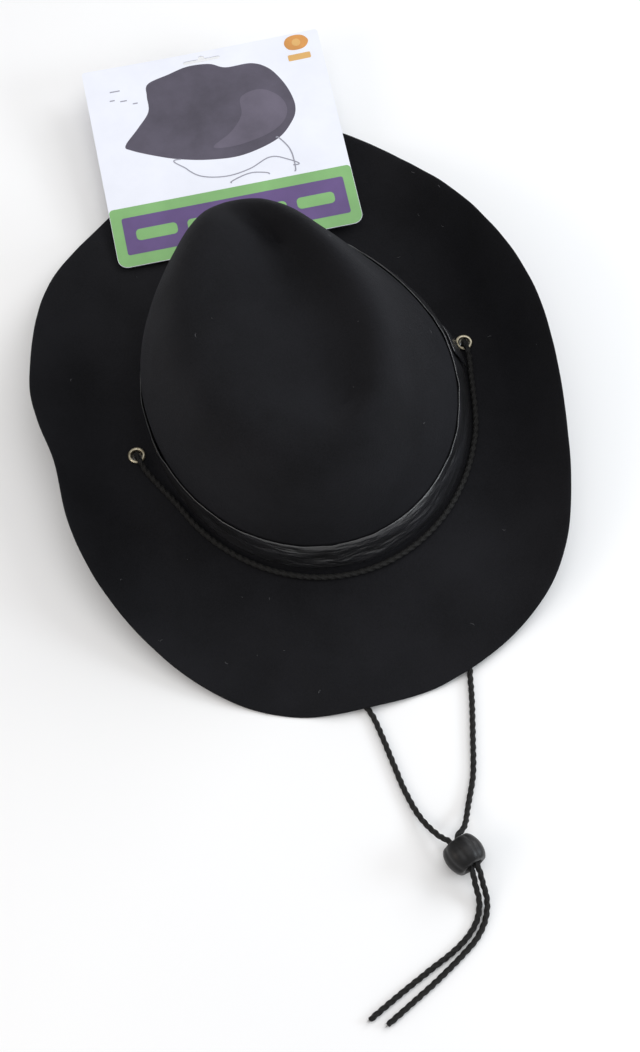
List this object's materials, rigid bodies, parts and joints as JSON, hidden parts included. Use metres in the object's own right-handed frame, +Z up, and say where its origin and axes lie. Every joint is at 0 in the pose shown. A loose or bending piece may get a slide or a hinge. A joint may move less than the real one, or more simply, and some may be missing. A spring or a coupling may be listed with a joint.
{
  "type": "cowboy hat",
  "caption": "Black felt cowboy hat with creased crown, rolled brim, shiny band, chin cord with a sliding bead, and a pinned hang card.",
  "frame": {"origin": "on the surface that the hat rests on, under the middle of the head opening", "axes": "+Z up through the crown, +Y towards the front of the hat, +X towards the wearer's right"},
  "size_m": [0.2814, 0.5881, 0.1099],
  "materials": {
    "felt": "brushed black felt",
    "band": "shiny black imitation leather",
    "ribbon": "ribbed black ribbon",
    "eyelet_brass": "aged brass",
    "cord": "twisted black cord",
    "bead": "satin black",
    "card": "printed white card",
    "nylon": "clear nylon"
  },
  "bodies": {
    "hat": {"felt_body": "felt", "hat_band": "band", "band_end_tab": "band", "sweatband": "ribbon", "eyelet_right": "eyelet_brass", "eyelet_washer_right": "eyelet_brass", "eyelet_left": "eyelet_brass", "eyelet_washer_left": "eyelet_brass", "cord_round_crown": "cord", "chin_cord_right": "cord", "chin_cord_left": "cord"},
    "bead": {"cord_bead": "bead"},
    "tag_pin": {"card_pin": "nylon"},
    "card": {"hang_card": "card"}
  },
  "joints": [
    {"name": "bead_slide", "type": "slide", "parent": "hat", "child": "bead", "axis": [-0.2924, 0.9563, 0], "range_m": [-0.012, 0.05], "deforming": ["chin_cord_right", "chin_cord_left"]},
    {"name": "card_swivel", "type": "hinge", "parent": "hat", "child": "tag_pin", "pos_m": [-0.00236, 0.11027, 0.0137], "axis": [0, 0, 1], "range_deg": [-5, 5]},
    {"name": "card_lift", "type": "hinge", "parent": "tag_pin", "child": "card", "pos_m": [-0.003, 0.1043, 0.0134], "axis": [0.9933, -0.1062, 0.0454], "range_deg": [0, 22]}
  ]
}
